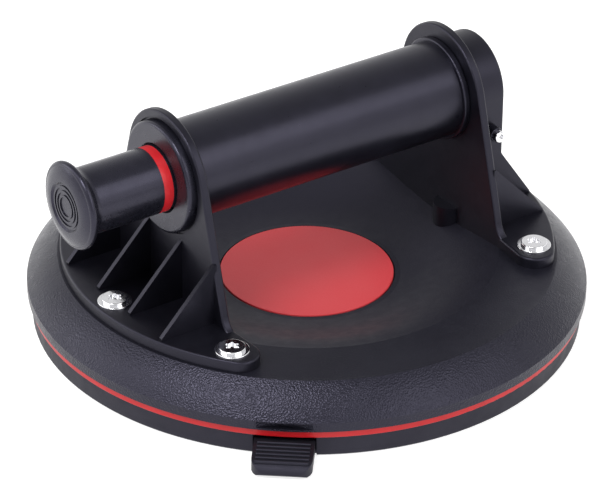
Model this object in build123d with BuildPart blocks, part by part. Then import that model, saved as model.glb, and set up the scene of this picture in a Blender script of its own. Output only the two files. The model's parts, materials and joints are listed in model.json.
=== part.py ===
from build123d import *
from math import cos, radians, sin, sqrt
import os

# Hand-held vacuum lifter with a pump in its grip. Sizes are in millimetres.
# The origin is the centre of the sealing face. +Z points up, away from the surface that is gripped,
# the grip lies along X, and the plunger points towards -X.

# ---- Driving dimensions ---------------------------------------------------------------------

# Disc: rubber pad, accent ring and moulded cover, from the sealing plane up. The setbacks are
# measured inwards from the cover's edge, so the whole disc follows cover_radius.
cover_radius = 100.0
pad_setback = 1.8
accent_setback = 0.8
backing_setback = 5.5
deck_outer_setback = 11.0
deck_inner_setback = 31.8
screw_setback = 19.4
pad_height = 7.8
accent_height = 2.8
accent_edge_radius = 0.4
rim_height = 3.5
deck_z = 24.3
dish_floor_z = 14.3
dish_floor_radius = 33.5
dish_start_tangent = (-1, -0.12)
dish_end_tangent = (-1, -0.08)
cover_wall = 3.0
rim_wall = 4.0
shoulder_bulge = 0.7
boss_wall = 2.6

# Pad underside
lip_width = 6.5
recess_depth = 3.2
recess_slope = 1.9
pad_edge_chamfer = 0.6
seal_ring_setback = 19.5
seal_ring_width = 4.0
seal_ring_gap = 1.4

# Label
label_radius = 31.1
label_thickness = 1.5
label_stand_up = 0.3
label_gap = 0.5
label_edge_radius = 0.25

# Release tab, moulded on the pad's edge
tab_angle = 231.5
tab_width = 20.8
tab_reach = 16.2
tab_root_radius = 2.3
tab_root_overlap = 1.0
tab_axis_z = 3.7
tab_brow_setback = 4.6
tab_brow_drop = 0.9
tab_brow_tangent = (1, -0.05)
tab_tip_drop = 1.9
tab_heel_setback = 1.2
tab_heel_drop = 3.0
tab_side_gap = 0.5
tab_pocket_gap = 0.3
tab_notch_depth = 2.2
tab_corner_radius = 5.0
tab_ridge_count = 6
tab_ridge_start = 2.8
tab_ridge_pitch = 2.1
tab_ridge_width = 1.2
tab_ridge_height = 0.7
tab_ridge_margin = 1.3
rim_notch_width = 21.5
rim_notch_depth = 2.4
rim_notch_lip = 0.8
rim_notch_top_gap = 0.3

# Brackets. plate_setback is from the cover's edge to the outer face of each plate.
plate_setback = 40.2
plate_thickness = 3.2
plate_edge_radius = 0.8
head_radius = 23.8
flare_angle = 16.0
foot_setback = 12.0
foot_thickness = 4.1
foot_corner_radius = 7.0
foot_tip_flare = 2.2
foot_edge_radius = 0.9
base_fillet_radius = 7.0
base_fillet_margin = 10.0
rib_count = 4
rib_pitch = 20.3
rib_thickness = 1.6
rib_rise = 23.2
rib_reach = 21.4
rib_toe = 0.8

# Bracket screws, washers and threaded inserts
screw_spread_angle = 37.4
screw_radius = 2.45
screw_hole_radius = 2.75
screw_depth = 9.0
washer_radius = 6.1
washer_thickness = 0.6
washer_edge_radius = 0.3
screw_head_radius = 4.7
screw_head_height = 1.1
screw_head_edge_radius = 0.35
screw_socket_radius = 2.5
screw_socket_depth = 0.9
screw_lobe_count = 6
screw_lobe_share = 0.24
insert_radius = 3.6
insert_length = 9.6
insert_depth = 0.4
insert_bore_clearance = 0.05

# Countersunk screws that hold the pad's backing plate to posts under the cover
post_angle = 64.0
post_screw_radius = 1.95
post_head_radius = 3.9
post_socket_radius = 1.4
post_socket_depth = 1.2
post_screw_clearance = 0.25
post_head_clearance = 0.1
post_wall = 3.0

# Grip and pump
grip_axis_z = 72.1
grip_radius = 17.5
grip_wall = 2.5
grip_ring_radius = 18.8
grip_ring_width = 2.4
grip_ring_edge_radius = 0.5
liner_wall = 1.35
liner_setback = 6.6
fit_gap = 0.05

# Plunger, drawn fully out
plunger_radius = 11.9
plunger_wall = 2.5
plunger_stroke = 28.0
running_clearance = 0.08
band_width = 3.7
band_thickness = 0.7
knob_radius = 15.8
knob_length = 8.2
knob_stop_gap = 1.0
knob_recess_radius = 9.0
knob_recess_depth = 0.7
knob_ring_pitch = 1.7
knob_ring_width = 0.7
knob_ring_height = 0.4
knob_ring_count = 3
knob_brim_radius = 1.4
piston_length = 10.0
piston_clearance = 0.1
dead_space = 10.5
seal_width = 3.0
spring_wire_radius = 0.7
spring_mean_radius = 8.0
spring_turns = 7
spring_end_gap = 0.05
stub_length = 7.0
pin_radius = 1.5
pin_setback = 0.6
seal_root_depth = 2.2
seal_radial_gap = 0.03
band_collar_gap = 0.7

# Guide collar
collar_radius = 20.2
collar_stand_out = 3.0
collar_seat_depth = 1.0
collar_seat_gap = 0.8
collar_edge_radius = 1.2
collar_bore_chamfer = 0.7
spigot_end_gap = 0.1
wiper_setback = 2.0
wiper_wall = 1.5

# Valve housing, on the outside of the +X bracket
housing_radius = 17.6
housing_depth = 12.7
housing_bottom_z = 47.9
housing_rib_reach = 12.8
housing_edge_radius = 1.0
chamber_radius = 14.4
chamber_wall = 3.0
port_radius = 2.2
poppet_radius = 4.2
poppet_thickness = 1.5
poppet_travel = 1.2
poppet_stem_radius = 1.0
poppet_seat_gap = 0.05
poppet_stem_reach = 0.6
poppet_spring_wire_radius = 0.3
poppet_spring_mean_radius = 2.3
poppet_spring_turns = 3
plug_pocket_radius = 6.0
cage_thickness = 1.0
cage_hole_radius = 1.1
cage_hole_circle = 3.6
cage_hole_count = 4
oring_width = 1.8
oring_depth = 1.3
oring_edge_radius = 0.5

# Release valve, across the housing
valve_setback = 6.4
valve_drop = 12.2
sleeve_radius = 2.2
sleeve_length = 8.0
sleeve_collar_radius = 2.65
sleeve_stand_out = 4.6
sleeve_edge_radius = 0.3
sleeve_floor = 0.3
button_radius = 2.15
button_length = 2.8
button_stand_out = 2.2
button_edge_radius = 0.4
button_dimple_radius = 1.2
button_dimple_depth = 0.9
valve_pin_radius = 0.9
valve_bore_radius = 1.3
valve_seal_radius = 1.8
valve_seal_thickness = 0.8
valve_seal_gap = 0.05
valve_spring_wire_radius = 0.28
valve_spring_mean_radius = 1.65
valve_spring_turns = 3

# Air passage from the pad to the housing
duct_y = -6.5
lug_radius = 6.0
lug_setback = 1.2
lug_height = 3.5
gallery_radius = 1.5
duct_reach = 4.0
duct_half_width = 3.4
tube_radius = 2.6
tube_bore_radius = 1.6
tube_oring_radius = 4.2
filter_radius = 6.0
filter_thickness = 1.4
filter_gap = 0.1
tube_filter_gap = 0.3

# ---- Dimensions that follow -----------------------------------------------------------------

pad_radius = cover_radius - pad_setback
accent_radius = cover_radius - accent_setback
backing_radius = cover_radius - backing_setback
deck_outer_radius = cover_radius - deck_outer_setback
deck_inner_radius = cover_radius - deck_inner_setback
foot_radius = cover_radius - foot_setback
screw_circle_radius = cover_radius - screw_setback
seal_ring_radius = cover_radius - seal_ring_setback
accent_z = pad_height
cover_z = pad_height + accent_height
rim_z = cover_z + rim_height
plate_outer_x = cover_radius - plate_setback
plate_inner_x = plate_outer_x - plate_thickness
foot_top_z = deck_z + foot_thickness
liner_half_length = plate_inner_x - liner_setback
grip_inner_radius = grip_radius - grip_wall
liner_radius = grip_inner_radius - fit_gap
bore_radius = liner_radius - liner_wall
collar_face_x = -plate_outer_x - collar_stand_out
collar_seat_x = -plate_outer_x + collar_seat_depth
tube_start_x = collar_face_x - plunger_stroke - knob_stop_gap
band_end_x = collar_face_x - band_collar_gap
band_start_x = band_end_x - band_width
band_seat_radius = plunger_radius - band_thickness
piston_end_x = liner_half_length - dead_space - plunger_stroke
piston_start_x = piston_end_x - piston_length
plunger_bore_radius = plunger_radius - plunger_wall
housing_end_x = plate_outer_x + housing_depth
valve_x = plate_outer_x + valve_setback
valve_z = grip_axis_z - valve_drop
lug_x = plate_inner_x + lug_setback
duct_x = plate_outer_x + duct_reach
gallery_z = deck_z + foot_thickness / 2
plug_groove_x = plate_inner_x + (plate_thickness - oring_width) / 2
grip_axis = Axis((0, 0, grip_axis_z), (1, 0, 0))
rib_places = [(i - (rib_count - 1) / 2) * rib_pitch for i in range(rib_count)]
screw_places = [
    (side * screw_circle_radius * cos(radians(a)), screw_circle_radius * sin(radians(a)))
    for side in (-1, 1)
    for a in (-screw_spread_angle, 0, screw_spread_angle)
]

post_places = [
    (
        side_x * screw_circle_radius * cos(radians(post_angle)),
        side_y * screw_circle_radius * sin(radians(post_angle)),
    )
    for side_x in (-1, 1)
    for side_y in (-1, 1)
]

parts = {}


def keep(part, label):
    """Label a finished piece and list it for export."""
    part.label = label
    parts[label] = part


def grip_plane(x):
    """Plane square to the grip at x, with its origin on the grip's axis and its normal along +X."""
    return Plane(origin=(x, 0, grip_axis_z), x_dir=(0, 1, 0), z_dir=(1, 0, 0))


def grip_tube(x_start, x_end, outer_radius, inner_radius=0.0):
    """Tube or rod about the grip's axis."""
    with BuildPart() as tube:
        with BuildSketch(grip_plane(x_start)):
            Circle(outer_radius)
            if inner_radius:
                Circle(inner_radius, mode=Mode.SUBTRACT)
        extrude(amount=x_end - x_start)
    return tube.part


# ---- Rubber pad and release tab -------------------------------------------------------------

tab_axis_radius = pad_radius - tab_notch_depth + tab_root_radius - tab_root_overlap
tab_plane = Plane(
    origin=(0, 0, 0),
    x_dir=(cos(radians(tab_angle)), sin(radians(tab_angle)), 0),
    z_dir=(sin(radians(tab_angle)), -cos(radians(tab_angle)), 0),
)

with BuildPart() as rubber_pad:
    with BuildSketch(Plane.XZ):
        with BuildLine():
            ring_in = seal_ring_radius - seal_ring_width / 2
            ring_out = seal_ring_radius + seal_ring_width / 2
            lip_in = pad_radius - lip_width
            Polyline(
                (0, recess_depth),
                (ring_in - recess_depth + seal_ring_gap, recess_depth),
                (ring_in, seal_ring_gap),
                (ring_out, seal_ring_gap),
                (ring_out + recess_depth - seal_ring_gap, recess_depth),
                (lip_in - recess_slope, recess_depth),
                (lip_in, 0),
                (pad_radius - pad_edge_chamfer, 0),
                (pad_radius, pad_edge_chamfer),
                (pad_radius, pad_height),
                (0, pad_height),
                (0, recess_depth),
            )
        make_face()
    revolve(axis=Axis.Z)
    # Pocket for the tab: a notch in the edge and a round seat for the tab's root
    with BuildSketch(tab_plane) as pocket:
        with Locations((pad_radius + tab_notch_depth, pad_height / 2)):
            Rectangle(4 * tab_notch_depth, 2 * pad_height)
        with Locations((tab_axis_radius, tab_axis_z)):
            Circle(tab_root_radius + tab_pocket_gap)
    extrude(amount=tab_width / 2 + tab_side_gap, both=True, mode=Mode.SUBTRACT)
    # Air port, with a seat for its filter in the underside
    with Locations(Plane((lug_x, duct_y, recess_depth), z_dir=(0, 0, -1))):
        CounterBoreHole(tube_radius + fit_gap, filter_radius + fit_gap, filter_thickness + filter_gap)
keep(rubber_pad.part, "rubber_pad")

with BuildPart() as release_tab:
    # Side outline, drawn from the root's axis outwards
    tab_top_z = tab_axis_z + tab_root_radius
    tab_brow_reach = tab_reach - tab_brow_setback
    with BuildSketch(tab_plane):
        with BuildLine():
            root_low = (tab_axis_radius, tab_axis_z - tab_root_radius)
            root_high = (tab_axis_radius, tab_top_z)
            brow = (tab_axis_radius + tab_brow_reach, tab_top_z - tab_brow_drop)
            tip = (tab_axis_radius + tab_reach, tab_axis_z - tab_tip_drop)
            heel = (tab_axis_radius + tab_reach - tab_heel_setback, tab_axis_z - tab_heel_drop)
            ThreePointArc(root_low, (tab_axis_radius - tab_root_radius, tab_axis_z), root_high)
            Line(root_high, brow)
            TangentArc(brow, tip, tangent=tab_brow_tangent)
            Line(tip, heel)
            Line(heel, root_low)
        make_face()
    extrude(amount=tab_width / 2, both=True)
    # Grip ridges across the top
    for i in range(tab_ridge_count):
        ridge_reach = tab_ridge_start + i * tab_ridge_pitch
        ridge_z = tab_top_z - tab_brow_drop * ridge_reach / tab_brow_reach
        with BuildSketch(tab_plane):
            with Locations((tab_axis_radius + ridge_reach, ridge_z)):
                Ellipse(tab_ridge_width / 2, tab_ridge_height)
        extrude(amount=tab_width / 2 - tab_ridge_margin, both=True)
    # Round the two corners of the tip, seen from above
    with BuildSketch(Plane((0, 0, 0), x_dir=tab_plane.x_dir, z_dir=(0, 0, 1))):
        with Locations((tab_axis_radius - tab_width, 0)):
            RectangleRounded(2 * (tab_reach + tab_width), tab_width, tab_corner_radius)
    extrude(amount=2 * pad_height, mode=Mode.INTERSECT)
keep(release_tab.part, "release_tab")

# ---- Accent ring, backing plate and cover ---------------------------------------------------

with BuildPart() as accent_ring:
    with BuildSketch(Plane.XY.offset(accent_z)):
        Circle(accent_radius)
        Circle(backing_radius + fit_gap, mode=Mode.SUBTRACT)
    extrude(amount=accent_height)
    fillet(accent_ring.edges().filter_by(GeomType.CIRCLE).sort_by(SortBy.RADIUS)[-2:], accent_edge_radius)
keep(accent_ring.part, "accent_ring")

with BuildPart() as backing_plate:
    with BuildSketch(Plane.XY.offset(accent_z)):
        Circle(backing_radius)
    extrude(amount=accent_height)
    with Locations((lug_x, duct_y, cover_z)):
        Hole(tube_radius + fit_gap)
    with Locations(*[Plane((x, y, accent_z), z_dir=(0, 0, -1)) for x, y in post_places]):
        CounterSinkHole(
            post_screw_radius + post_screw_clearance,
            post_head_radius + post_head_clearance,
            counter_sink_angle=90,
        )
keep(backing_plate.part, "backing_plate")

with BuildPart() as post_screw:
    with BuildSketch(Plane.XZ):
        with BuildLine():
            Polyline(
                (0, accent_z + post_socket_depth),
                (post_socket_radius, accent_z + post_socket_depth),
                (post_socket_radius, accent_z),
                (post_head_radius, accent_z),
                (post_screw_radius, accent_z + post_head_radius - post_screw_radius),
                (post_screw_radius, cover_z + screw_depth),
                (0, cover_z + screw_depth),
                (0, accent_z + post_socket_depth),
            )
        make_face()
    revolve(axis=Axis.Z)
with BuildPart() as post_screws:
    with Locations(*post_places):
        add(post_screw.part)
keep(post_screws.part, "pad_screws")

# Outer form of the cover, solid: it also trims the undersides of the brackets
with BuildPart() as cover_form:
    with BuildSketch(Plane.XZ):
        with BuildLine():
            Polyline((0, dish_floor_z), (0, cover_z), (cover_radius, cover_z), (cover_radius, rim_z))
            SagittaArc((cover_radius, rim_z), (deck_outer_radius, deck_z), -shoulder_bulge)
            Line((deck_outer_radius, deck_z), (deck_inner_radius, deck_z))
            Spline(
                (deck_inner_radius, deck_z),
                (dish_floor_radius, dish_floor_z),
                tangents=(dish_start_tangent, dish_end_tangent),
            )
            Line((dish_floor_radius, dish_floor_z), (0, dish_floor_z))
        make_face()
    revolve(axis=Axis.Z)

# Space under the deck, with the screw posts left standing
with BuildPart() as cover_cavity:
    with BuildSketch(Plane.XZ):
        with BuildLine():
            Polyline(
                (dish_floor_radius + cover_wall, cover_z),
                (cover_radius - rim_wall, cover_z),
                (cover_radius - rim_wall, rim_z - cover_wall / 6),
                (deck_outer_radius - cover_wall * 2 / 3, deck_z - cover_wall),
                (deck_inner_radius - cover_wall * 2 / 3, deck_z - cover_wall),
                (dish_floor_radius + cover_wall * 3 / 2, dish_floor_z - cover_wall),
                close=True,
            )
        make_face()
    revolve(axis=Axis.Z)
    with Locations(*[(x, y, deck_z / 2) for x, y in screw_places]):
        Cylinder(insert_radius + boss_wall, deck_z + 1, mode=Mode.SUBTRACT)
    with Locations(*[(x, y, deck_z / 2) for x, y in post_places + [(lug_x, duct_y)]]):
        Cylinder(post_screw_radius + post_wall, deck_z + 1, mode=Mode.SUBTRACT)

with BuildPart() as cover:
    add(cover_form.part)
    add(cover_cavity.part, mode=Mode.SUBTRACT)
    # Seat of the label
    with BuildSketch(Plane.XY.offset(dish_floor_z)):
        Circle(label_radius + label_gap)
    extrude(amount=label_stand_up - label_thickness, mode=Mode.SUBTRACT)
    # Holes for the brackets' inserts, from above, and for the pad's screws, from below
    with Locations(*[(x, y, deck_z) for x, y in screw_places]):
        Hole(insert_radius, depth=insert_length + insert_depth)
    with Locations(*[Plane((x, y, cover_z), z_dir=(0, 0, -1)) for x, y in post_places]):
        Hole(post_screw_radius + fit_gap, depth=screw_depth)
    with Locations(Plane((lug_x, duct_y, cover_z), z_dir=(0, 0, -1))):
        CounterBoreHole(tube_radius + fit_gap, tube_oring_radius, oring_width)
    # Finger notch in the rim, over the release tab: a shallow scoop
    scoop_radius = (rim_notch_width**2 / 4 + rim_notch_depth**2) / (2 * rim_notch_depth)
    scoop_centre = cover_radius - rim_notch_depth + scoop_radius
    with BuildSketch(Plane((0, 0, cover_z + rim_notch_lip), x_dir=tab_plane.x_dir, z_dir=(0, 0, 1))):
        with Locations((scoop_centre, 0)):
            Circle(scoop_radius)
    extrude(amount=rim_height - rim_notch_lip - rim_notch_top_gap, mode=Mode.SUBTRACT)
keep(cover.part, "cover")

with BuildPart() as label_disc:
    with BuildSketch(Plane.XY.offset(dish_floor_z + label_stand_up)):
        Circle(label_radius)
    extrude(amount=-label_thickness)
    fillet(label_disc.edges().sort_by(Axis.Z)[-1], label_edge_radius)
keep(label_disc.part, "label_disc")

with BuildPart() as inserts:
    with Locations(*[(x, y, deck_z - insert_depth) for x, y in screw_places]):
        Cylinder(insert_radius, insert_length, align=(Align.CENTER, Align.CENTER, Align.MAX))
        Hole(screw_radius + insert_bore_clearance)
keep(inserts.part, "threaded_inserts")

# ---- Brackets -------------------------------------------------------------------------------


def bracket_blank(rib_ys):
    """Bracket of the +X side: foot, flared plate and ribs, without the bore for the grip."""
    flare = radians(flare_angle)
    base_half_width = (head_radius + (grip_axis_z - foot_top_z) * sin(flare)) / cos(flare)
    spread = base_half_width + base_fillet_margin
    under_z = dish_floor_z
    past_tip_y = 2 * sqrt(foot_radius**2 - plate_inner_x**2) - base_half_width
    with BuildPart() as foot:
        with BuildSketch(Plane.XY.offset(under_z)) as foot_outline:
            Circle(foot_radius)
            # Inner edge: in line with the plate, then leaning inwards all the way past the two tips
            with BuildLine():
                Polyline(
                    (plate_inner_x - 2 * foot_tip_flare, -past_tip_y),
                    (plate_inner_x, -base_half_width),
                    (plate_inner_x, base_half_width),
                    (plate_inner_x - 2 * foot_tip_flare, past_tip_y),
                    (-foot_radius, past_tip_y),
                    (-foot_radius, -past_tip_y),
                    close=True,
                )
            make_face(mode=Mode.SUBTRACT)
            tips = foot_outline.vertices().filter_by(lambda v: abs(v.Y) > base_half_width + 1)
            fillet(tips, foot_corner_radius)
        extrude(amount=foot_top_z - under_z)
        fillet(foot.edges().group_by(Axis.Z)[-1], foot_edge_radius)
    with BuildPart() as plate:
        with BuildSketch(Plane.YZ.offset(plate_inner_x)) as plate_outline:
            with BuildLine():
                Polyline(
                    (-spread, under_z),
                    (spread, under_z),
                    (spread, foot_top_z - foot_edge_radius),
                    (base_half_width, foot_top_z - foot_edge_radius),
                    (head_radius * cos(flare), grip_axis_z + head_radius * sin(flare)),
                    (-head_radius * cos(flare), grip_axis_z + head_radius * sin(flare)),
                    (-base_half_width, foot_top_z - foot_edge_radius),
                    (-spread, foot_top_z - foot_edge_radius),
                    close=True,
                )
            make_face()
            with Locations((0, grip_axis_z)):
                Circle(head_radius)
            corners = plate_outline.vertices().filter_by(
                lambda v: abs(abs(v.X) - base_half_width) < 0.01 and v.Y < grip_axis_z
            )
            fillet(corners, base_fillet_radius)
        extrude(amount=plate_thickness)
        rim_edges = plate.edges().filter_by(lambda e: (e @ 0.5).Z > foot_top_z and abs((e % 0.5).X) < 0.5)
        fillet(rim_edges, plate_edge_radius)
    with BuildPart() as bracket:
        add(foot.part)
        add(plate.part)
        for y in rib_ys:
            with BuildSketch(Plane.XZ.offset(-y)):
                with BuildLine():
                    Polyline(
                        (plate_outer_x - 1, foot_top_z - 1),
                        (plate_outer_x - 1, foot_top_z + rib_rise),
                        (plate_outer_x, foot_top_z + rib_rise),
                        (plate_outer_x + rib_reach, foot_top_z + rib_toe),
                        (plate_outer_x + rib_reach, foot_top_z - 1),
                        close=True,
                    )
                make_face()
            extrude(amount=rib_thickness / 2, both=True)
        add(cover_form.part, mode=Mode.SUBTRACT)
        with Locations(*[(x, y, foot_top_z) for x, y in screw_places if x > 0]):
            Hole(screw_hole_radius, depth=2 * foot_thickness)
    return bracket.part


with BuildPart() as pump_bracket:
    add(bracket_blank(rib_places).mirror(Plane.YZ))
    with BuildSketch(grip_plane(-plate_outer_x)):
        Circle(collar_radius + collar_seat_gap)
    extrude(amount=collar_seat_depth, mode=Mode.SUBTRACT)
    with BuildSketch(grip_plane(-plate_outer_x)):
        Circle(grip_inner_radius)
    extrude(amount=plate_thickness, mode=Mode.SUBTRACT)
keep(pump_bracket.part, "pump_bracket")

# Valve housing: round over the grip's axis, straight sides below
with BuildPart() as housing:
    with BuildSketch(Plane.YZ.offset(plate_outer_x - 0.5)):
        with Locations((0, grip_axis_z)):
            Circle(housing_radius)
            Rectangle(2 * housing_radius, grip_axis_z - housing_bottom_z, align=(Align.CENTER, Align.MAX))
    extrude(amount=housing_depth + 0.5)
    fillet(housing.faces().sort_by(Axis.X)[-1].edges(), housing_edge_radius)

with BuildPart() as valve_bracket:
    add(bracket_blank([rib_places[0], rib_places[-1]]))
    add(housing.part)
    # Two ribs carry the housing's side walls down to the foot
    for side in (-1, 1):
        with BuildSketch(Plane.XZ.offset(-side * (housing_radius - rib_thickness / 2))):
            with BuildLine():
                Polyline(
                    (plate_outer_x - 1, foot_top_z - 1),
                    (plate_outer_x - 1, housing_bottom_z + 2),
                    (housing_end_x - housing_edge_radius, housing_bottom_z + 2),
                    (housing_end_x, housing_bottom_z),
                    (housing_end_x + housing_rib_reach, foot_top_z + rib_toe),
                    (housing_end_x + housing_rib_reach, foot_top_z - 1),
                    close=True,
                )
            make_face()
        extrude(amount=rib_thickness / 2, both=True)
    # Air duct column between the two middle ribs, and the lug over the pad's port
    with BuildSketch(Plane.XY.offset(foot_top_z - 1)):
        with Locations((plate_outer_x - 1, duct_y)):
            Rectangle(duct_reach + 1 + duct_half_width, 2 * duct_half_width, align=(Align.MIN, Align.CENTER))
    extrude(amount=housing_bottom_z - foot_top_z + 2)
    with BuildSketch(Plane.XY.offset(dish_floor_z)):
        with Locations((lug_x, duct_y)):
            Circle(lug_radius)
    extrude(amount=deck_z + lug_height - dish_floor_z)
    add(cover_form.part, mode=Mode.SUBTRACT)
    # Bore for the grip's liner, and the chamber behind it
    with BuildSketch(grip_plane(plate_inner_x)):
        Circle(grip_inner_radius)
    extrude(amount=plate_thickness, mode=Mode.SUBTRACT)
    with BuildSketch(grip_plane(plate_outer_x)):
        Circle(chamber_radius)
    extrude(amount=housing_depth - chamber_wall, mode=Mode.SUBTRACT)
    # Air passage: up from the pad, across the foot, and up the column into the chamber
    with Locations(Plane((lug_x, duct_y, 0), z_dir=(0, 0, 1))):
        Cylinder(tube_radius + fit_gap, 2 * gallery_z, mode=Mode.SUBTRACT)
    with BuildSketch(Plane.YZ.offset(lug_x)):
        with Locations((duct_y, gallery_z)):
            Circle(gallery_radius)
    extrude(amount=duct_x - lug_x, mode=Mode.SUBTRACT)
    with BuildSketch(Plane.XY.offset(gallery_z)):
        with Locations((duct_x, duct_y)):
            Circle(gallery_radius)
    extrude(amount=grip_axis_z - chamber_radius - gallery_z + 4, mode=Mode.SUBTRACT)
    # Cross bore of the release valve
    with BuildSketch(Plane((valve_x, -housing_radius, valve_z), z_dir=(0, 1, 0))):
        Circle(sleeve_radius + fit_gap)
    extrude(amount=housing_radius, mode=Mode.SUBTRACT)
keep(valve_bracket.part, "valve_bracket")

# Fasteners of the brackets: pan-head screws on flat washers
with BuildPart() as washer:
    with BuildSketch(Plane.XY.offset(foot_top_z)):
        Circle(washer_radius)
        Circle(screw_hole_radius, mode=Mode.SUBTRACT)
    extrude(amount=washer_thickness)
    fillet(washer.edges().group_by(Axis.Z)[-1].sort_by(SortBy.RADIUS)[-1], washer_edge_radius)
with BuildPart() as washers:
    with Locations(*screw_places):
        add(washer.part)
keep(washers.part, "bracket_washers")

with BuildPart() as bracket_screw:
    head_z = foot_top_z + washer_thickness
    head_top_z = head_z + screw_head_height
    with BuildSketch(Plane.XY.offset(foot_top_z - screw_depth)):
        Circle(screw_radius)
    extrude(amount=screw_depth + washer_thickness)
    with BuildSketch(Plane.XY.offset(head_z)):
        Circle(screw_head_radius)
    extrude(amount=screw_head_height)
    fillet(bracket_screw.edges().group_by(Axis.Z)[-1], screw_head_edge_radius)
    # Lobed socket
    lobe_radius = screw_socket_radius * screw_lobe_share
    with BuildSketch(Plane.XY.offset(head_top_z)):
        Circle(screw_socket_radius - 1.2 * lobe_radius)
        with PolarLocations(screw_socket_radius - lobe_radius, screw_lobe_count):
            Circle(lobe_radius)
    extrude(amount=-screw_socket_depth, mode=Mode.SUBTRACT)
with BuildPart() as bracket_screws:
    with Locations(*screw_places):
        add(bracket_screw.part)
keep(bracket_screws.part, "bracket_screws")

# ---- Grip and pump barrel -------------------------------------------------------------------

keep(grip_tube(-plate_inner_x, plate_inner_x, grip_radius, grip_inner_radius), "grip_tube")

with BuildPart() as grip_rings:
    for end_x in (-plate_inner_x, plate_inner_x - grip_ring_width):
        add(grip_tube(end_x, end_x + grip_ring_width, grip_ring_radius, grip_radius))
    fillet(grip_rings.edges().filter_by(GeomType.CIRCLE).sort_by(SortBy.RADIUS)[-4:], grip_ring_edge_radius)
keep(grip_rings.part, "grip_end_rings")

keep(grip_tube(-liner_half_length, liner_half_length, liner_radius, bore_radius), "pump_liner")

with BuildPart() as end_plug:
    # Disc that closes the barrel, with a pocket for the check valve and a groove for its seal
    add(grip_tube(liner_half_length, plate_outer_x, liner_radius))
    add(grip_tube(liner_half_length, plate_inner_x, plug_pocket_radius), mode=Mode.SUBTRACT)
    add(grip_tube(plate_inner_x, plate_outer_x, port_radius), mode=Mode.SUBTRACT)
    add(
        grip_tube(plug_groove_x, plug_groove_x + oring_width, liner_radius, liner_radius - oring_depth),
        mode=Mode.SUBTRACT,
    )
keep(end_plug.part, "end_plug")

with BuildPart() as plug_oring:
    add(grip_tube(plug_groove_x, plug_groove_x + oring_width, grip_inner_radius, liner_radius - oring_depth))
    fillet(plug_oring.edges().filter_by(GeomType.CIRCLE).sort_by(SortBy.RADIUS)[-2:], oring_edge_radius)
keep(plug_oring.part, "end_plug_oring")

with BuildPart() as check_valve_cage:
    add(grip_tube(liner_half_length, liner_half_length + cage_thickness, plug_pocket_radius - fit_gap))
    with BuildSketch(grip_plane(liner_half_length)):
        Circle(poppet_stem_radius + running_clearance)
        with PolarLocations(cage_hole_circle, cage_hole_count):
            Circle(cage_hole_radius)
    extrude(amount=cage_thickness, mode=Mode.SUBTRACT)
keep(check_valve_cage.part, "check_valve_cage")

poppet_seat_x = plate_inner_x - poppet_seat_gap
with BuildPart() as poppet:
    add(grip_tube(poppet_seat_x - poppet_thickness, poppet_seat_x, poppet_radius))
    add(grip_tube(liner_half_length - poppet_stem_reach, poppet_seat_x, poppet_stem_radius))
keep(poppet.part, "check_valve_poppet")


def coil_spring(start, direction, length, mean_radius, wire_radius, turns):
    """Round-wire compression spring; its end faces stand at start and at start + length."""
    axis_dir = Vector(*direction)
    first = Vector(*start) + axis_dir * wire_radius
    rise = length - 2 * wire_radius
    with BuildPart() as spring:
        with BuildLine() as path:
            Helix(pitch=rise / turns, height=rise, radius=mean_radius, center=first, direction=direction)
        with BuildSketch(Plane(origin=path.line @ 0, z_dir=path.line % 0)):
            Circle(wire_radius)
        sweep()
    return spring.part


keep(
    coil_spring(
        (liner_half_length + cage_thickness + spring_end_gap, 0, grip_axis_z),
        (1, 0, 0),
        poppet_seat_x - poppet_thickness - liner_half_length - cage_thickness - 2 * spring_end_gap,
        poppet_spring_mean_radius,
        poppet_spring_wire_radius,
        poppet_spring_turns,
    ),
    "check_valve_spring",
)

# ---- Guide collar ---------------------------------------------------------------------------

guide_bore_radius = plunger_radius + running_clearance
wiper_start_x = collar_seat_x + wiper_setback
wiper_end_x = wiper_start_x + seal_width
wiper_radius = guide_bore_radius + wiper_wall

with BuildPart() as guide_collar:
    add(grip_tube(collar_face_x, collar_seat_x, collar_radius, guide_bore_radius))
    fillet(guide_collar.edges().group_by(Axis.X)[0].sort_by(SortBy.RADIUS)[-1], collar_edge_radius)
    chamfer(guide_collar.edges().group_by(Axis.X)[0].sort_by(SortBy.RADIUS)[0], collar_bore_chamfer)
    add(grip_tube(collar_seat_x, -liner_half_length - spigot_end_gap, liner_radius, guide_bore_radius))
    add(grip_tube(wiper_start_x, wiper_end_x, wiper_radius, plunger_radius), mode=Mode.SUBTRACT)
keep(guide_collar.part, "guide_collar")

keep(grip_tube(wiper_start_x, wiper_end_x, wiper_radius, plunger_radius + seal_radial_gap), "collar_wiper")

# ---- Plunger --------------------------------------------------------------------------------

stub_radius = plunger_bore_radius - fit_gap
pin_x = piston_start_x - stub_length / 2

with BuildPart() as plunger_tube:
    add(grip_tube(tube_start_x, piston_start_x, plunger_radius, plunger_bore_radius))
    add(grip_tube(band_start_x, band_end_x, 2 * plunger_radius, band_seat_radius), mode=Mode.SUBTRACT)
    with Locations(Plane((pin_x, -plunger_radius, grip_axis_z), z_dir=(0, -1, 0))):
        Hole(pin_radius)
keep(plunger_tube.part, "plunger_tube")

keep(grip_tube(band_start_x, band_end_x, plunger_radius - fit_gap, band_seat_radius), "indicator_band")

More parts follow.
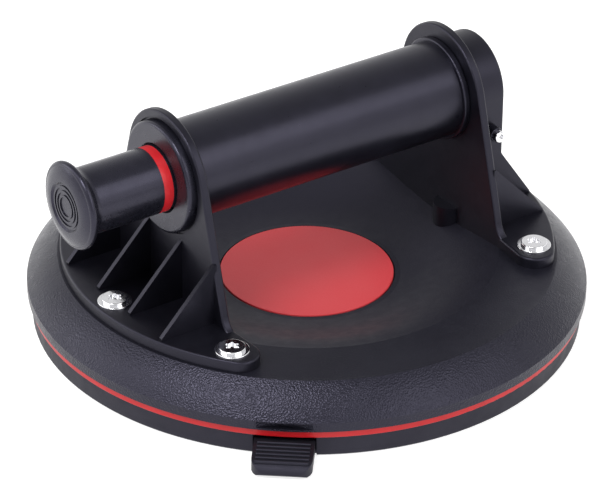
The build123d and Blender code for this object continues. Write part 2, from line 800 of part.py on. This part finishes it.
knob_front_x = tube_start_x - knob_length
with BuildPart() as knob:
    with BuildSketch(Plane(origin=(knob_front_x, 0, grip_axis_z), x_dir=(1, 0, 0), z_dir=(0, -1, 0))):
        with BuildLine():
            recess_r = knob_recess_radius
            brim_r = knob_radius - knob_brim_radius
            brim_end = 2 * knob_brim_radius
            neck_start = 3 * knob_brim_radius
            Line((knob_length, 0), (knob_recess_depth, 0))
            Line((knob_recess_depth, 0), (knob_recess_depth, recess_r - knob_recess_depth))
            Line((knob_recess_depth, recess_r - knob_recess_depth), (0, recess_r))
            SagittaArc((0, recess_r), (knob_brim_radius, brim_r), knob_brim_radius / 4)
            RadiusArc((knob_brim_radius, brim_r), (brim_end, knob_radius), knob_brim_radius)
            RadiusArc((brim_end, knob_radius), (neck_start, brim_r), knob_brim_radius)
            RadiusArc((neck_start, brim_r), (knob_length, plunger_radius), -(knob_length - neck_start))
            Line((knob_length, plunger_radius), (knob_length, 0))
        make_face()
    revolve(axis=grip_axis)
    # Concentric ridges on the floor of the recess
    recess_floor_x = knob_front_x + knob_recess_depth
    for i in range(1, knob_ring_count + 1):
        ring_r = recess_r - i * knob_ring_pitch
        ridge = grip_tube(
            recess_floor_x - knob_ring_height,
            recess_floor_x + knob_ring_height,
            ring_r + knob_ring_width / 2,
            ring_r - knob_ring_width / 2,
        )
        add(ridge)
    add(grip_tube(tube_start_x, tube_start_x + stub_length, stub_radius))
keep(knob.part, "plunger_knob")

seal_start_x = (piston_start_x + piston_end_x - seal_width) / 2
seal_root_radius = bore_radius - seal_root_depth
with BuildPart() as piston:
    add(grip_tube(piston_start_x, piston_end_x, bore_radius - piston_clearance))
    add(grip_tube(piston_start_x - stub_length, piston_start_x, stub_radius))
    add(
        grip_tube(seal_start_x, seal_start_x + seal_width, bore_radius, seal_root_radius),
        mode=Mode.SUBTRACT,
    )
    with Locations(Plane((pin_x, -plunger_radius, grip_axis_z), z_dir=(0, -1, 0))):
        Hole(pin_radius)
keep(piston.part, "piston_head")

piston_seal_radius = bore_radius - seal_radial_gap
keep(
    grip_tube(seal_start_x, seal_start_x + seal_width, piston_seal_radius, seal_root_radius),
    "piston_seal",
)

with BuildPart() as piston_pin:
    with BuildSketch(Plane(origin=(pin_x, 0, grip_axis_z), z_dir=(0, 1, 0))):
        Circle(pin_radius - fit_gap / 2)
    extrude(amount=plunger_radius - pin_setback, both=True)
keep(piston_pin.part, "piston_pin")

keep(
    coil_spring(
        (piston_end_x + spring_end_gap, 0, grip_axis_z),
        (1, 0, 0),
        liner_half_length - piston_end_x - 2 * spring_end_gap,
        spring_mean_radius,
        spring_wire_radius,
        spring_turns,
    ),
    "plunger_spring",
)

# ---- Release valve --------------------------------------------------------------------------

housing_side_y = -housing_radius
sleeve_in_y = housing_side_y + sleeve_length
sleeve_out_y = housing_side_y - sleeve_stand_out
sleeve_floor_y = housing_side_y - sleeve_floor


def valve_rod(y_start, y_end, outer_radius, inner_radius=0.0):
    """Tube or rod about the release valve's axis."""
    with BuildPart() as rod:
        with BuildSketch(Plane(origin=(valve_x, y_start, valve_z), x_dir=(1, 0, 0), z_dir=(0, 1, 0))):
            Circle(outer_radius)
            if inner_radius:
                Circle(inner_radius, mode=Mode.SUBTRACT)
        extrude(amount=y_end - y_start)
    return rod.part


with BuildPart() as valve_sleeve:
    add(valve_rod(sleeve_out_y, housing_side_y, sleeve_collar_radius))
    add(valve_rod(housing_side_y, sleeve_in_y, sleeve_radius))
    add(valve_rod(sleeve_out_y, sleeve_floor_y, button_radius + running_clearance), mode=Mode.SUBTRACT)
    add(valve_rod(sleeve_floor_y, sleeve_in_y, valve_bore_radius), mode=Mode.SUBTRACT)
    fillet(valve_sleeve.edges().group_by(Axis.Y)[0].sort_by(SortBy.RADIUS)[-1], sleeve_edge_radius)
keep(valve_sleeve.part, "release_valve_sleeve")

button_out_y = sleeve_out_y - button_stand_out
button_in_y = button_out_y + button_length
seal_y = sleeve_in_y + valve_seal_gap
seal_end_y = seal_y + valve_seal_thickness
rod_end_y = seal_end_y + valve_seal_thickness
with BuildPart() as release_button:
    add(valve_rod(button_out_y, button_in_y, button_radius))
    fillet(release_button.edges().group_by(Axis.Y)[0], button_edge_radius)
    add(valve_rod(button_in_y, rod_end_y, valve_pin_radius))
    add(valve_rod(seal_end_y, rod_end_y, valve_seal_radius))
    add(valve_rod(button_out_y, button_out_y + button_dimple_depth, button_dimple_radius), mode=Mode.SUBTRACT)
keep(release_button.part, "release_button")

keep(
    valve_rod(seal_y, seal_end_y, valve_seal_radius, valve_pin_radius),
    "release_valve_seal",
)

keep(
    coil_spring(
        (valve_x, button_in_y + spring_end_gap, valve_z),
        (0, 1, 0),
        sleeve_floor_y - button_in_y - 2 * spring_end_gap,
        valve_spring_mean_radius,
        valve_spring_wire_radius,
        valve_spring_turns,
    ),
    "release_valve_spring",
)

# ---- Air tube, its seal and its filter ------------------------------------------------------

tube_bottom_z = recess_depth + filter_thickness + tube_filter_gap
tube_top_z = gallery_z - gallery_radius
with BuildPart() as air_tube:
    with BuildSketch(Plane(origin=(lug_x, duct_y, tube_bottom_z))):
        Circle(tube_radius)
        Circle(tube_bore_radius, mode=Mode.SUBTRACT)
    extrude(amount=tube_top_z - tube_bottom_z)
keep(air_tube.part, "air_tube")

with BuildPart() as tube_oring:
    with BuildSketch(Plane(origin=(lug_x, duct_y, cover_z))):
        Circle(tube_oring_radius - fit_gap)
        Circle(tube_radius, mode=Mode.SUBTRACT)
    extrude(amount=oring_width)
keep(tube_oring.part, "air_tube_oring")

with BuildPart() as port_filter:
    with BuildSketch(Plane(origin=(lug_x, duct_y, recess_depth))):
        Circle(filter_radius)
    extrude(amount=filter_thickness)
keep(port_filter.part, "port_filter")

# ---- Export ---------------------------------------------------------------------------------

os.makedirs("parts", exist_ok=True)
for label, part in parts.items():
    export_step(part, f"parts/{label}.step")
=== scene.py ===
import json
import math

import bpy
from mathutils import Matrix, Vector


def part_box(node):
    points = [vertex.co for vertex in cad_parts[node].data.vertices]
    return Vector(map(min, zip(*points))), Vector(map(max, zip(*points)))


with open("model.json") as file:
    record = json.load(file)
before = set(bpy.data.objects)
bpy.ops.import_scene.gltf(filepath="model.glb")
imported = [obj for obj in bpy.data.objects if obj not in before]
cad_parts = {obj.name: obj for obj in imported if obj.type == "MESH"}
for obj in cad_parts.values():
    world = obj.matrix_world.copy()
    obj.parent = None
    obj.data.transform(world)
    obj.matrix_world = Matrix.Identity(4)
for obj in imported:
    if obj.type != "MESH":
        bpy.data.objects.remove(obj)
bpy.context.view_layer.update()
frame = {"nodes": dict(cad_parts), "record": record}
nodes = frame["nodes"]
MM = 0.001

# ---- Camera ---------------------------------------------------------------------------------

# Distances are in metres.
VIEW_AZIMUTH = math.radians(-34.45)
VIEW_ELEVATION = math.radians(30.77)
VIEW_ROLL = math.radians(0.66)
VIEW_DISTANCE = 1.5
LENS_MM = 248.4
SENSOR_MM = 36.0
CLIP_NEAR, CLIP_FAR = 0.05, 20.0
AIM = Vector((-0.00226, -0.00229, 0.02467))


def direction(azimuth, elevation):
    """Unit vector from the object outwards. Azimuth 0 is in front, at -Y, and grows towards +X."""
    flat = math.cos(elevation)
    return Vector((math.sin(azimuth) * flat, -math.cos(azimuth) * flat, math.sin(elevation)))


def add_camera():
    """The camera stands at the photograph's viewing angle, far off behind a long lens."""
    back = direction(VIEW_AZIMUTH, VIEW_ELEVATION)
    data = bpy.data.cameras.new("camera")
    data.lens = LENS_MM
    data.sensor_width = SENSOR_MM
    data.clip_start, data.clip_end = CLIP_NEAR, CLIP_FAR
    camera = bpy.data.objects.new("camera", data)
    bpy.context.scene.collection.objects.link(camera)
    camera.matrix_world = (
        Matrix.Translation(AIM + back * VIEW_DISTANCE)
        @ back.to_track_quat("Z", "Y").to_matrix().to_4x4()
        @ Matrix.Rotation(VIEW_ROLL, 4, "Z")
    )
    bpy.context.scene.camera = camera


add_camera()

# ---- Node helpers ---------------------------------------------------------------------------


class Shader:
    """A material's node tree, with short calls for the nodes that the finishes share.

    A socket is named by its label, or by i0 and i1 where a node has two of the same label.
    """

    NUMBERED = {"i0": 0, "i1": 1}

    def __init__(self, name):
        self.material = bpy.data.materials.new(name)
        self.material.use_nodes = True
        self.tree = self.material.node_tree
        self.surface = self.tree.nodes["Principled BSDF"]
        self.place = self.tree.nodes.new("ShaderNodeTexCoord").outputs["Object"]

    def node(self, kind, settings=None, **inputs):
        made = self.tree.nodes.new(kind)
        for key, value in (settings or {}).items():
            setattr(made, key, value)
        for key, value in inputs.items():
            self.feed(made.inputs[self.NUMBERED.get(key, key)], value)
        return made

    def feed(self, socket, value):
        if isinstance(value, bpy.types.NodeSocket):
            self.tree.links.new(value, socket)
        else:
            socket.default_value = value

    def noise(self, scale, detail=3.0, rough=0.5, place=None):
        vector = place or self.place
        made = self.node("ShaderNodeTexNoise", Vector=vector, Scale=scale, Detail=detail, Roughness=rough)
        return made.outputs["Fac"]

    def ring_noise(self, radius, scale):
        """Noise that changes with the radius alone, as turning marks do."""
        settings = {"noise_dimensions": "1D"}
        made = self.node("ShaderNodeTexNoise", settings, W=radius, Scale=scale, Detail=3.0)
        return made.outputs["Fac"]

    def span(self, value, low, high, to_low=0.0, to_high=1.0, smooth=False):
        """The value mapped from low..high to to_low..to_high, clamped at both ends."""
        kind = {"interpolation_type": "SMOOTHSTEP"} if smooth else None
        made = self.node("ShaderNodeMapRange", kind)
        for socket, number in zip(made.inputs[:5], (value, low, high, to_low, to_high)):
            self.feed(socket, number)
        return made.outputs[0]

    def math(self, operation, a, b):
        return self.node("ShaderNodeMath", {"operation": operation}, i0=a, i1=b).outputs[0]

    def vector_math(self, operation, a, b):
        return self.node("ShaderNodeVectorMath", {"operation": operation}, i0=a, i1=b)

    def blend(self, fac, a, b):
        """Colour a where fac is 0 and b where it is 1. The mix node's colour sockets are 6, 7 and 2."""
        made = self.node("ShaderNodeMix", {"data_type": "RGBA"})
        self.feed(made.inputs[0], fac)
        for socket, colour in ((6, a), (7, b)):
            self.feed(made.inputs[socket], (*colour, 1.0) if isinstance(colour, tuple) else colour)
        return made.outputs[2]

    def stretched(self, scale):
        """The object's coordinates scaled by a different number along each axis."""
        return self.node("ShaderNodeMapping", Vector=self.place, Scale=scale).outputs[0]

    def bump(self, height, depth, after=None):
        made = self.node("ShaderNodeBump", Height=height, Distance=depth, Strength=1.0)
        if after:
            self.feed(made.inputs["Normal"], after)
        return made.outputs[0]

    def radius_about(self, centre, axis):
        """Distance from a line through centre along one of the axes X, Y, Z."""
        keep = tuple(0.0 if name == axis else 1.0 for name in "XYZ")
        shifted = self.vector_math("SUBTRACT", self.place, centre).outputs[0]
        flat = self.vector_math("MULTIPLY", shifted, keep).outputs[0]
        return self.node("ShaderNodeVectorMath", {"operation": "LENGTH"}, i0=flat).outputs["Value"]

    def set(self, **inputs):
        """Feeds the surface's sockets. An underscore in a name stands for a space."""
        for key, value in inputs.items():
            socket = self.surface.inputs[key.replace("_", " ")]
            self.feed(socket, (*value, 1.0) if isinstance(value, tuple) else value)


# ---- Studio ---------------------------------------------------------------------------------

# Distances and light sizes are in metres, powers in watts.
LIGHT_AIM = Vector((0, 0, 40 * MM))
FLOOR_REACH = 6.0
FLOOR_DROP = 0.2 * MM
FLOOR_GLOW = 0.72
SKY_LEVELS = [(0.0, 1.0), (0.35, 0.9), (0.6, 0.72), (0.85, 0.5), (1.0, 0.42)]


def add_area_light(name, azimuth, elevation, distance, width, height, power):
    """Area light aimed at the object, with its angles in degrees."""
    way = direction(math.radians(azimuth), math.radians(elevation))
    data = bpy.data.lights.new(name, "AREA")
    data.shape = "RECTANGLE"
    data.size, data.size_y = width, height
    data.energy = power
    lamp = bpy.data.objects.new(name, data)
    bpy.context.scene.collection.objects.link(lamp)
    lamp.location = LIGHT_AIM + way * distance
    lamp.rotation_euler = way.to_track_quat("Z", "Y").to_euler()


def add_world():
    """White all round near the horizon and greyer overhead, as inside a light tent.

    A sky level is the height of the look direction, 0 to 1, and the grey there.
    """
    world = bpy.data.worlds.new("studio")
    world.use_nodes = True
    tree = world.node_tree
    place = tree.nodes.new("ShaderNodeTexCoord").outputs["Generated"]
    split = tree.nodes.new("ShaderNodeSeparateXYZ")
    tree.links.new(place, split.inputs[0])
    ramp = tree.nodes.new("ShaderNodeValToRGB")
    tree.links.new(split.outputs["Z"], ramp.inputs[0])
    stops = ramp.color_ramp.elements
    while len(stops) < len(SKY_LEVELS):
        stops.new(0.5)
    for element, (position, level) in zip(stops, SKY_LEVELS):
        element.position = position
        element.color = (level, level, level, 1.0)
    tree.links.new(ramp.outputs[0], tree.nodes["Background"].inputs["Color"])
    tree.nodes["Background"].inputs["Strength"].default_value = 1.0
    bpy.context.scene.world = world
    bpy.context.scene.view_settings.view_transform = "Standard"


def add_floor():
    """A wide floor just under the pad. Its glow whitens it and leaves a soft contact shadow."""
    mesh = bpy.data.meshes.new("floor")
    signs = [(-1, -1), (1, -1), (1, 1), (-1, 1)]
    corners = [(x * FLOOR_REACH, y * FLOOR_REACH, 0) for x, y in signs]
    mesh.from_pydata(corners, [], [(0, 1, 2, 3)])
    floor = bpy.data.objects.new("floor", mesh)
    bpy.context.scene.collection.objects.link(floor)
    floor.location.z = -FLOOR_DROP
    paint = Shader("floor")
    tone = paint.span(paint.noise(3.0, 2.0), 0.3, 0.7, 0.55, 0.6)
    paint.set(Base_Color=paint.blend(tone, (0.5, 0.5, 0.5), (0.56, 0.56, 0.56)), Roughness=0.95)
    paint.set(Emission_Color=(1.0, 1.0, 1.0), Emission_Strength=FLOOR_GLOW)
    mesh.materials.append(paint.material)


add_world()
add_floor()
add_area_light("front_box", azimuth=8, elevation=20, distance=1.6, width=1.2, height=0.7, power=2.5)
add_area_light("key", azimuth=-70, elevation=58, distance=1.5, width=0.5, height=0.5, power=11)
add_area_light("front_fill", azimuth=20, elevation=42, distance=1.5, width=1.2, height=0.8, power=6)
add_area_light("left_box", azimuth=-112, elevation=38, distance=1.5, width=1.5, height=0.8, power=5.5)
add_area_light("low_box", azimuth=-138, elevation=14, distance=1.5, width=0.6, height=0.5, power=2.5)

# ---- Finishes -------------------------------------------------------------------------------

low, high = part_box("cover")
COVER_RADIUS = (high.x - low.x) / 2
# The shoulder's coarse grain comes in, and the dish's matte finish goes out, over these stretches.
SHOULDER_START = COVER_RADIUS - 13.5 * MM
SHOULDER_FULL = COVER_RADIUS - 9.0 * MM
DISH_FULL = COVER_RADIUS - 34.0 * MM
DISH_END = COVER_RADIUS - 30.0 * MM
GRAINS_PER_METRE = 1500.0
GRAIN_DEPTH = 0.13 * MM
GRAIN_SHARE_INSIDE = 0.2
# Painted shade: the label's red deepens from this far on one side of its middle to as far on the other,
# darker towards the back, away from the camera.
LABEL_SHADE_REACH = 31.0 * MM
LABEL_SHADE_WAY = (0.6, 0.8, 0.0)
grip_low, grip_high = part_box("grip_tube")
GRIP_AXIS = (0.0, 0.0, (grip_low.z + grip_high.z) / 2)
DISC_AXIS = (0.0, 0.0, 0.0)
BLACK_TINT = (0.76, 0.73, 1.0)


def mottled(paint, dark, light, scale=55.0):
    """Base colour that drifts softly between two near tones."""
    cloud = paint.span(paint.noise(scale, 4.0, 0.6), 0.3, 0.7)
    return paint.blend(cloud, dark, light)


def grain_bump(paint, size, depth, after=None):
    """Fine all-over grain of the given feature size."""
    coarse = paint.noise(1.0 / size, 2.0, 0.6)
    fine = paint.noise(2.7 / size, 1.0, 0.5)
    height = paint.math("ADD", coarse, paint.math("MULTIPLY", fine, 0.4))
    return paint.bump(height, depth, after)


def varied_roughness(paint, low_value, high_value, scale=160.0):
    """Roughness that drifts in patches between two values."""
    return paint.span(paint.noise(scale, 5.0, 0.65), 0.28, 0.72, low_value, high_value)


def pad_rubber(name):
    paint = Shader(name)
    paint.set(Base_Color=mottled(paint, (0.003, 0.003, 0.0045), (0.007, 0.007, 0.0095), 90.0))
    paint.set(Roughness=varied_roughness(paint, 0.46, 0.6), Normal=grain_bump(paint, 0.45 * MM, 0.035 * MM))
    paint.set(Specular_Tint=BLACK_TINT, Specular_IOR_Level=0.42)
    return paint.material


def seal_rubber(name):
    paint = Shader(name)
    paint.set(Base_Color=mottled(paint, (0.008, 0.008, 0.008), (0.014, 0.014, 0.014), 300.0))
    paint.set(Roughness=varied_roughness(paint, 0.35, 0.45), Normal=grain_bump(paint, 0.2 * MM, 0.01 * MM))
    return paint.material


def accent_red(name):
    paint = Shader(name)
    paint.set(Base_Color=mottled(paint, (0.36, 0.004, 0.007), (0.46, 0.008, 0.012), 70.0))
    paint.set(Specular_IOR_Level=0.35)
    paint.set(Roughness=varied_roughness(paint, 0.3, 0.4), Normal=grain_bump(paint, 0.5 * MM, 0.012 * MM))
    return paint.material


def shell_plastic(name):
    """Cover: coarse spark-eroded grain on the shoulder, faint inside it, and a more matte dish."""
    paint = Shader(name)
    radius = paint.radius_about(DISC_AXIS, "Z")
    shoulder = paint.span(radius, SHOULDER_START, SHOULDER_FULL, smooth=True)
    dish = paint.span(radius, DISH_FULL, DISH_END, 1.0, 0.0, smooth=True)
    tone = mottled(paint, (0.0045, 0.0045, 0.0075), (0.0075, 0.0075, 0.0115))
    paint.set(Base_Color=paint.blend(dish, tone, (0.0065, 0.0062, 0.0100)), Specular_Tint=BLACK_TINT)
    paint.set(Specular_IOR_Level=0.42)
    cells = paint.node("ShaderNodeTexVoronoi", Vector=paint.place, Scale=GRAINS_PER_METRE)
    share = paint.span(shoulder, 0.0, 1.0, GRAIN_SHARE_INSIDE, 1.0)
    grain = paint.bump(paint.math("MULTIPLY", cells.outputs["Distance"], share), GRAIN_DEPTH)
    paint.set(Normal=grain_bump(paint, 0.35 * MM, 0.02 * MM, after=grain))
    satin = varied_roughness(paint, 0.36, 0.5, 240.0)
    polished = paint.math("MULTIPLY", shoulder, -0.12)
    matte = paint.math("MULTIPLY", dish, 0.1)
    paint.set(Roughness=paint.math("ADD", satin, paint.math("ADD", polished, matte)))
    return paint.material


def bracket_plastic(name):
    paint = Shader(name)
    paint.set(Base_Color=mottled(paint, (0.0022, 0.0022, 0.0038), (0.0042, 0.0042, 0.0065), 80.0))
    paint.set(Specular_Tint=BLACK_TINT, Specular_IOR_Level=0.42)
    paint.set(Roughness=varied_roughness(paint, 0.33, 0.45), Normal=grain_bump(paint, 0.4 * MM, 0.018 * MM))
    return paint.material


def grip_plastic(name):
    """Satin plastic with faint marks running round the grip's axis."""
    paint = Shader(name)
    tone = mottled(paint, (0.0028, 0.0028, 0.0045), (0.005, 0.005, 0.008), 120.0)
    paint.set(Base_Color=tone, Specular_Tint=BLACK_TINT)
    lines = paint.noise(1.0, 3.0, 0.6, paint.stretched((900.0, 40.0, 40.0)))
    marks = paint.bump(lines, 0.006 * MM)
    paint.set(Normal=grain_bump(paint, 0.3 * MM, 0.006 * MM, after=marks))
    paint.set(Roughness=varied_roughness(paint, 0.27, 0.36, 220.0))
    return paint.material


def collar_plastic(name):
    """Smoother plastic with faint turning rings on its flat faces."""
    paint = Shader(name)
    rings = paint.ring_noise(paint.radius_about(GRIP_AXIS, "X"), 2600.0)
    paint.set(Base_Color=mottled(paint, (0.005, 0.005, 0.008), (0.008, 0.008, 0.012), 140.0))
    paint.set(Specular_Tint=BLACK_TINT)
    paint.set(Normal=paint.bump(rings, 0.008 * MM))
    paint.set(Roughness=varied_roughness(paint, 0.24, 0.32, 200.0))
    return paint.material


def plunger_plastic(name):
    """Plunger: fine marks that run round the tube and, as rings, round the knob's face."""
    paint = Shader(name)
    rings = paint.ring_noise(paint.radius_about(GRIP_AXIS, "X"), 2200.0)
    paint.set(Base_Color=mottled(paint, (0.005, 0.005, 0.008), (0.009, 0.009, 0.013), 140.0))
    paint.set(Specular_Tint=BLACK_TINT)
    marks = paint.bump(rings, 0.01 * MM)
    lines = paint.noise(1.0, 3.0, 0.6, paint.stretched((1300.0, 30.0, 30.0)))
    paint.set(Normal=paint.bump(lines, 0.005 * MM, after=marks))
    paint.set(Roughness=varied_roughness(paint, 0.22, 0.32, 200.0))
    return paint.material


def band_red(name):
    paint = Shader(name)
    paint.set(Base_Color=mottled(paint, (0.44, 0.008, 0.013), (0.56, 0.014, 0.02), 90.0))
    paint.set(Roughness=varied_roughness(paint, 0.26, 0.36), Normal=grain_bump(paint, 0.4 * MM, 0.008 * MM))
    return paint.material


def label_film(name):
    """Satin printed film: red with fine pale specks, and painted shade that deepens the red a little
    towards the back.
    """
    paint = Shader(name)
    shade_position = paint.vector_math("DOT_PRODUCT", paint.place, LABEL_SHADE_WAY).outputs["Value"]
    painted_shade = paint.span(shade_position, -LABEL_SHADE_REACH, LABEL_SHADE_REACH)
    # Painted shade: the red darkens towards the back of the label, away from the camera.
    red = paint.blend(painted_shade, (0.60, 0.044, 0.054), (0.54, 0.034, 0.044))
    speck = paint.span(paint.noise(1500.0, 2.0), 0.35, 0.65, 0.0, 0.12)
    paint.set(Base_Color=paint.blend(speck, red, (0.68, 0.09, 0.10)))
    paint.set(Roughness=varied_roughness(paint, 0.36, 0.46, 90.0), Specular_IOR_Level=0.35)
    paint.set(Normal=grain_bump(paint, 0.3 * MM, 0.006 * MM))
    return paint.material


def metal(name, tone_a, tone_b, rough_low, rough_high, scratch):
    """Metal with fine scratches of the given depth in millimetres."""
    paint = Shader(name)
    paint.set(Base_Color=mottled(paint, tone_a, tone_b, 260.0), Metallic=1.0)
    hair = paint.noise(1.0, 4.0, 0.7, paint.stretched((2600.0, 500.0, 900.0)))
    paint.set(Normal=paint.bump(hair, scratch * MM))
    paint.set(Roughness=varied_roughness(paint, rough_low, rough_high, 500.0))
    return paint.material


def chrome(name):
    return metal(name, (0.78, 0.78, 0.80), (0.88, 0.88, 0.90), 0.08, 0.2, 0.003)


def steel(name):
    return metal(name, (0.50, 0.51, 0.53), (0.62, 0.62, 0.63), 0.25, 0.4, 0.006)


def spring_steel(name):
    return metal(name, (0.42, 0.42, 0.43), (0.55, 0.55, 0.55), 0.22, 0.35, 0.004)


def brass(name):
    return metal(name, (0.66, 0.48, 0.22), (0.80, 0.62, 0.32), 0.2, 0.35, 0.005)


def liner_plastic(name):
    paint = Shader(name)
    paint.set(Base_Color=mottled(paint, (0.60, 0.60, 0.57), (0.68, 0.68, 0.65), 120.0))
    paint.set(Roughness=varied_roughness(paint, 0.3, 0.42), Normal=grain_bump(paint, 0.4 * MM, 0.01 * MM))
    return paint.material


def filter_felt(name):
    """Pale felt with a fibre pattern stretched along one way."""
    paint = Shader(name)
    fibre = paint.noise(1.0, 6.0, 0.7, paint.stretched((2400.0, 900.0, 1500.0)))
    paint.set(Base_Color=paint.blend(paint.span(fibre, 0.3, 0.7), (0.40, 0.38, 0.33), (0.66, 0.63, 0.56)))
    paint.set(Roughness=0.95, Normal=paint.bump(fibre, 0.15 * MM), Sheen_Weight=0.4)
    return paint.material


finishes = {
    "rubber": pad_rubber,
    "seal_rubber": seal_rubber,
    "accent_red": accent_red,
    "shell_plastic": shell_plastic,
    "bracket_plastic": bracket_plastic,
    "grip_plastic": grip_plastic,
    "collar_plastic": collar_plastic,
    "plunger_plastic": plunger_plastic,
    "band_red": band_red,
    "label": label_film,
    "chrome": chrome,
    "steel": steel,
    "spring_steel": spring_steel,
    "brass": brass,
    "liner_plastic": liner_plastic,
    "filter_felt": filter_felt,
}
materials = {slot: finish(slot) for slot, finish in finishes.items()}
for part in frame["record"]["subparts"]:
    mesh = nodes[part["node"]].data
    mesh.materials.clear()
    mesh.materials.append(materials[part["material_slot"]])
